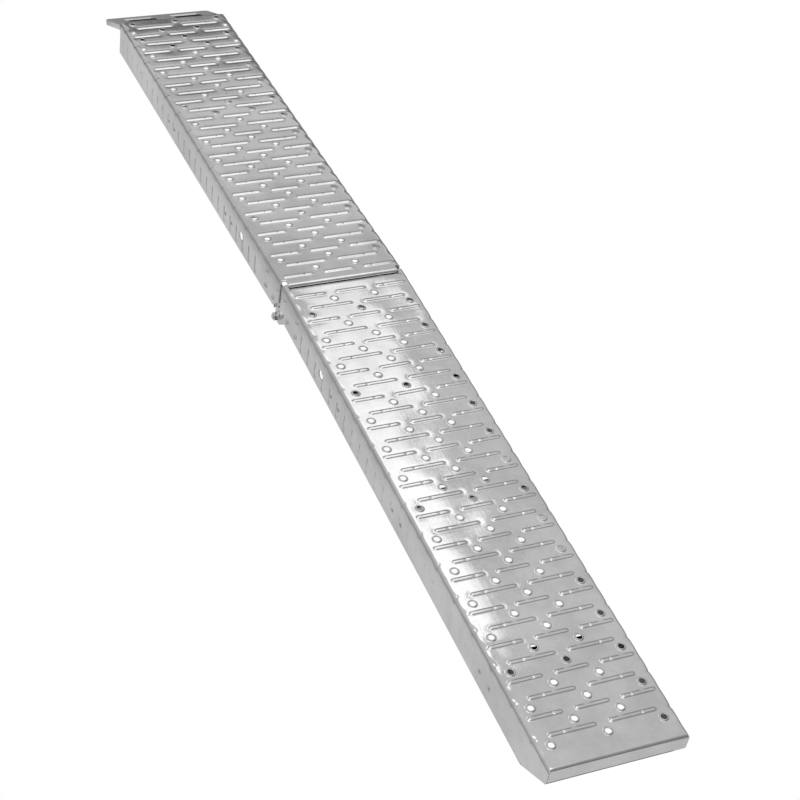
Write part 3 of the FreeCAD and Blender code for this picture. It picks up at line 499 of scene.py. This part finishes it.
def zinc(name, level, roughness, grain, streak=0.0, warmth=0.0, shade=0.8, reach=0.004):
    """Zinc-coated steel: clouds, fine spangle, rolling lines, rubbed edges, scuffs, and
    painted shade in creases and hollows.
    """
    material = bpy.data.materials.new(name)
    material.use_nodes = True
    n = Nodes(material.node_tree)
    place = n.add("ShaderNodeTexCoord").outputs["Object"]
    clouds = n.noise(place, 9.0, 4.0, 0.55)
    patches = n.noise(place, 34.0, 3.0, 0.6)
    fine = n.noise(place, grain, 2.0)
    rolled = n.noise(place, 260.0, 3.0, 0.6, (1.0, 0.02, 1.0))
    scuffs = n.noise(place, 90.0, 4.0, 0.7, (1.0, 0.25, 1.0))
    spangle = n.add("ShaderNodeTexVoronoi", {"Vector": place, "Scale": grain * 0.5})
    flake = n.add("ShaderNodeSeparateXYZ", {"Vector": spangle.outputs["Color"]})

    tone = n.math("MULTIPLY_ADD", n.spread(clouds, 0.3, 0.7), 0.15, 0.87)
    tone = n.math("MULTIPLY", tone,
                  n.math("MULTIPLY_ADD", n.spread(patches, 0.3, 0.7), 0.09, 0.94))
    tone = n.math("MULTIPLY", tone,
                  n.math("MULTIPLY_ADD", flake.outputs[0], 0.05, 0.975))
    base = n.blend(tone, grey(0.0), grey(level, warmth))
    edge = n.add("ShaderNodeNewGeometry").outputs["Pointiness"]
    rubbed = n.spread(edge, 0.52, 0.60)
    base = n.blend(n.math("MULTIPLY", rubbed, 0.35), base, grey(0.92))
    # Painted shade: concave creases are blended towards a dark grey, where shade falls.
    crease_shade = n.math("MULTIPLY", n.spread(edge, 0.48, 0.42), 0.30)
    base = n.blend(crease_shade, base, grey(0.18, 0.03))
    stain = n.math("MULTIPLY", n.spread(scuffs, 0.64, 0.74), 0.22)
    base = n.blend(stain, base, grey(0.36, 0.02))
    # Painted shade: within reach of other surfaces, found by ambient occlusion, the colour is
    # blended towards near black, as strongly as shade says.
    corner = n.add("ShaderNodeAmbientOcclusion", {"Distance": reach}, samples=6)
    hollow_shade = n.math("MULTIPLY", n.spread(corner.outputs["AO"], 0.75, 0.15), shade)
    base = n.blend(hollow_shade, base, grey(0.04))

    rough = n.math("MULTIPLY_ADD", n.spread(clouds, 0.25, 0.75), 0.04, roughness - 0.02)
    rough = n.math("MULTIPLY_ADD", n.spread(patches, 0.45, 0.8), 0.03, rough)
    rough = n.math("MULTIPLY_ADD", n.spread(scuffs, 0.55, 0.75), 0.09, rough)
    rough = n.math("MULTIPLY_ADD", rolled, streak * 0.04, rough)

    relief = n.math("MULTIPLY", fine, 0.35)
    relief = n.math("MULTIPLY_ADD", rolled, streak, relief)
    relief = n.math("MULTIPLY_ADD", patches, 1.1, relief)
    bump = n.add("ShaderNodeBump", {"Height": relief, "Strength": 0.35,
                                    "Distance": 0.00012})
    surface = n.add("ShaderNodeBsdfPrincipled", {
        "Base Color": base, "Metallic": 1.0, "Roughness": rough,
        "Normal": bump.outputs[0]})
    output = n.add("ShaderNodeOutputMaterial")
    n.tree.links.new(surface.outputs[0], output.inputs[0])
    return material


# Each finish carries the painted shade of zinc() in its hollows; shade and reach set how dark
# and how wide it is.
FINISHES = {
    "galvanised_sheet": zinc("galvanised_sheet", 0.81, 0.048, 900.0, streak=0.5,
                             shade=0.6),
    "hinge_steel": zinc("hinge_steel", 0.66, 0.26, 1400.0, streak=0.3),
    # Rivets: a short reach of painted shade draws a thin dark outline round the base of each
    # dome.
    "rivet_steel": zinc("rivet_steel", 0.97, 0.14, 1600.0, shade=0.95,
                        reach=0.0024),
    "zinc_fasteners": zinc("zinc_fasteners", 0.78, 0.20, 1800.0, warmth=0.01,
                           reach=0.0015),
    # Braces and tie inside the deck: a darker copy of the sheet with wide painted shade,
    # which stands in for the shade inside the channels.
    "inner_sheet_painted_shade": zinc("inner_sheet_painted_shade", 0.60, 0.30, 900.0, shade=0.97, reach=0.03),
    # Hinge strap: a rougher, slightly lighter copy of the sheet with weak painted shade; the
    # lighter colour is painted light where it lies in shade under the deck.
    "strap_sheet": zinc("strap_sheet", 0.86, 0.35, 900.0, shade=0.1),
    "dull_rivets": zinc("dull_rivets", 0.42, 0.30, 1600.0, reach=0.003),
    # Lip plate: the sheet with wide painted shade, which darkens the inner face of its skirt
    # and its undersides, where shade falls.
    "lip_sheet": zinc("lip_sheet", 0.81, 0.065, 900.0, streak=0.5, shade=0.98,
                      reach=0.06),
}


def finish_piece(piece, slot, finish=None):
    """Give a piece the material of its slot in the record, or its own finish of it."""
    piece.data.materials.clear()
    piece.data.materials.append(FINISHES[finish or slot])


def soften_edges(piece, width):
    """Small rounded edges on a CAD node, which stays where it is."""
    bevel = piece.modifiers.new("edges", "BEVEL")
    bevel.width = width * MM
    bevel.segments = 2
    bevel.limit_method = "ANGLE"
    bevel.angle_limit = math.radians(35)


# ---------------------------------------------------------------- the ramp
STAND_FOR = {
    LOWER: ("lower_deck", "lower_hinge_fold", "foot_wall"),
    UPPER: ("upper_deck",),
}
for out, nodes in STAND_FOR.items():
    deck = make_sheet(out)
    finish_piece(deck, "galvanised_sheet")
    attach(deck, HALVES[out]["name"] + "_section")
    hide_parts(*nodes)

OWN_FINISH = {
    "lower_brace_1": "inner_sheet_painted_shade", "lower_brace_2": "inner_sheet_painted_shade",
    "lower_brace_3": "inner_sheet_painted_shade", "upper_brace": "inner_sheet_painted_shade",
    "upper_tie": "inner_sheet_painted_shade", "hinge_strap": "strap_sheet",
    "lip_plate": "lip_sheet", "lower_brace_rivets": "dull_rivets",
    "upper_brace_rivets": "dull_rivets",
}
EDGE_ROUNDING = 0.3
RIVET_ROUNDING = 0.15
redrawn = sum(STAND_FOR.values(), ())
for entry in frame["record"]["subparts"]:
    node = entry["node"]
    if node in redrawn:
        continue
    piece = frame["nodes"][node]
    finish_piece(piece, entry["material_slot"], OWN_FINISH.get(node))
    soften_edges(piece, RIVET_ROUNDING if "rivets" in node else EDGE_ROUNDING)


# ---------------------------------------------------------------- studio
def emission_material(name, build):
    """Material whose light is worked out by build(nodes)."""
    material = bpy.data.materials.new(name)
    material.use_nodes = True
    n = Nodes(material.node_tree)
    light = n.add("ShaderNodeEmission", build(n))
    output = n.add("ShaderNodeOutputMaterial")
    n.tree.links.new(light.outputs[0], output.inputs[0])
    return material


def flat_panel(name, corners, material):
    """Flat piece of the studio, given by its corners in metres."""
    mesh = bpy.data.meshes.new(name)
    mesh.from_pydata(corners, [], [tuple(range(len(corners)))])
    panel = bpy.data.objects.new(name, mesh)
    bpy.context.scene.collection.objects.link(panel)
    mesh.materials.append(material)
    return panel


def floor_light(n):
    """White to the camera; to the metal, a soft grey with painted shadow under the ramp."""
    seen = n.add("ShaderNodeLightPath").outputs["Is Camera Ray"]
    place = n.add("ShaderNodeSeparateXYZ", {
        "Vector": n.add("ShaderNodeNewGeometry").outputs["Position"]})
    # To the metal, the ramp's footprint glows with painted shadow, with a painted pool of
    # light under the lower half; outside it, the grey dims further out to the sides and ahead
    # of the top end.
    beside = n.spread(n.math("ABSOLUTE", place.outputs[0]), 0.100, 0.106)
    past = n.spread(n.math("ABSOLUTE", place.outputs[1]), 0.983, 0.990)
    clear = n.math("MAXIMUM", beside, past)
    ahead = n.spread(place.outputs[1], 0.96, 1.03, 0.62, 0.27)
    away = n.spread(n.math("ABSOLUTE", place.outputs[0]), 0.13, 0.165, 1.0, 0.60)
    ahead = n.math("MULTIPLY", ahead, away)
    upper_side = n.math("MULTIPLY", n.spread(place.outputs[1], 0.0, 0.1, 0.10, 0.34),
                        n.spread(place.outputs[1], 0.78, 0.88, 1.0, 0.05))
    lit_patch = n.math("MULTIPLY", n.spread(place.outputs[1], -0.62, -0.56),
                       n.spread(place.outputs[1], -0.30, -0.36))
    painted_shade_under_ramp = n.math("MULTIPLY_ADD", lit_patch, 0.5, upper_side)
    mixed = n.add("ShaderNodeMix", {0: clear, 2: painted_shade_under_ramp, 3: ahead}, data_type="FLOAT")
    metal = mixed.outputs[0]
    strength = n.math("MAXIMUM", seen, metal)
    return {"Color": grey(1.0), "Strength": strength}


FLOOR_HALF = 9.0
floor = flat_panel("floor", [(-FLOOR_HALF, -FLOOR_HALF, 0), (FLOOR_HALF, -FLOOR_HALF, 0),
                             (FLOOR_HALF, FLOOR_HALF, 0), (-FLOOR_HALF, FLOOR_HALF, 0)],
                   emission_material("floor_white", floor_light))


CEILING = 3.0
# Outline of the overhead softbox, in plan.  Its long right edge is the diagonal edge
# that the deck mirrors, so it bends a little where the photographed one does.  Its
# far left corner is cut away, which leaves the deck grey in its corner at the hinge.
SOFTBOX_OUTLINE = ((0.1, 1.10), (1.40, 1.10), (1.53, 1.70), (1.545, 2.12),
                   (1.70, 2.62), (1.73, 3.25), (1.41, 3.25), (1.43, 2.93),
                   (1.40, 2.80), (1.35, 2.70), (0.1, 2.62))


def softbox_light(n):
    """Bright panel that dims a little towards its far end."""
    place = n.add("ShaderNodeSeparateXYZ", {
        "Vector": n.add("ShaderNodeNewGeometry").outputs["Position"]})
    return {"Color": grey(1.0),
            "Strength": n.spread(place.outputs[1], 1.5, 3.1, 1.36, 1.05)}


softbox = flat_panel("overhead_softbox", [(x, y, CEILING) for x, y in SOFTBOX_OUTLINE],
                     emission_material("softbox_light", softbox_light))
softbox.visible_camera = False
softbox.visible_shadow = False

# Brightness of the studio round the ramp, by how steeply one looks up.
STUDIO_TONES = ((0.0, 0.42), (0.425, 0.17), (0.437, 0.40), (0.452, 0.55), (0.462, 0.66),
                (0.488, 0.68), (0.507, 0.56), (0.64, 0.56), (0.75, 0.62), (0.905, 0.64),
                (0.925, 1.5))
world = bpy.data.worlds.new("studio")
bpy.context.scene.world = world
world.use_nodes = True
w = Nodes(world.node_tree)
direction = w.add("ShaderNodeSeparateXYZ", {
    "Vector": w.add("ShaderNodeTexCoord").outputs["Generated"]})
tones = w.add("ShaderNodeValToRGB", {0: direction.outputs[2]})
stops = tones.color_ramp.elements
stops[0].position, stops[0].color = STUDIO_TONES[0][0], grey(STUDIO_TONES[0][1])
stops[1].position, stops[1].color = STUDIO_TONES[-1][0], grey(STUDIO_TONES[-1][1])
for position, level in STUDIO_TONES[1:-1]:
    stops.new(position).color = grey(level)
behind = w.spread(direction.outputs[1], -0.5, 0.35, 0.55, 1.0)
left = w.spread(direction.outputs[0], 0.22, 0.08, 0.0, 0.50)
glow = w.math("MAXIMUM", w.math("MULTIPLY", tones.outputs[0], behind), left)
back = w.add("ShaderNodeBackground", {"Color": grey(1.0), "Strength": glow})
w.tree.links.new(back.outputs[0], w.add("ShaderNodeOutputWorld").inputs[0])

# ---------------------------------------------------------------- camera
camera_data = bpy.data.cameras.new("camera")
camera_data.sensor_width = 36.0
camera_data.lens = 88.74
camera = bpy.data.objects.new("camera", camera_data)
bpy.context.scene.collection.objects.link(camera)
CAMERA_AZIMUTH = math.radians(29.035)
CAMERA_PITCH = math.radians(39.673)
CAMERA_ROLL = math.radians(9.72)
camera.location = (-1.1280, -2.2841, 1.9737)
aim = Euler((math.pi / 2 - CAMERA_PITCH, 0.0, -CAMERA_AZIMUTH)).to_matrix()
camera.matrix_world = (Matrix.Translation(camera.location)
                       @ (aim @ Matrix.Rotation(CAMERA_ROLL, 3, "Z")).to_4x4())
bpy.context.scene.camera = camera
bpy.context.scene.view_settings.view_transform = "Standard"
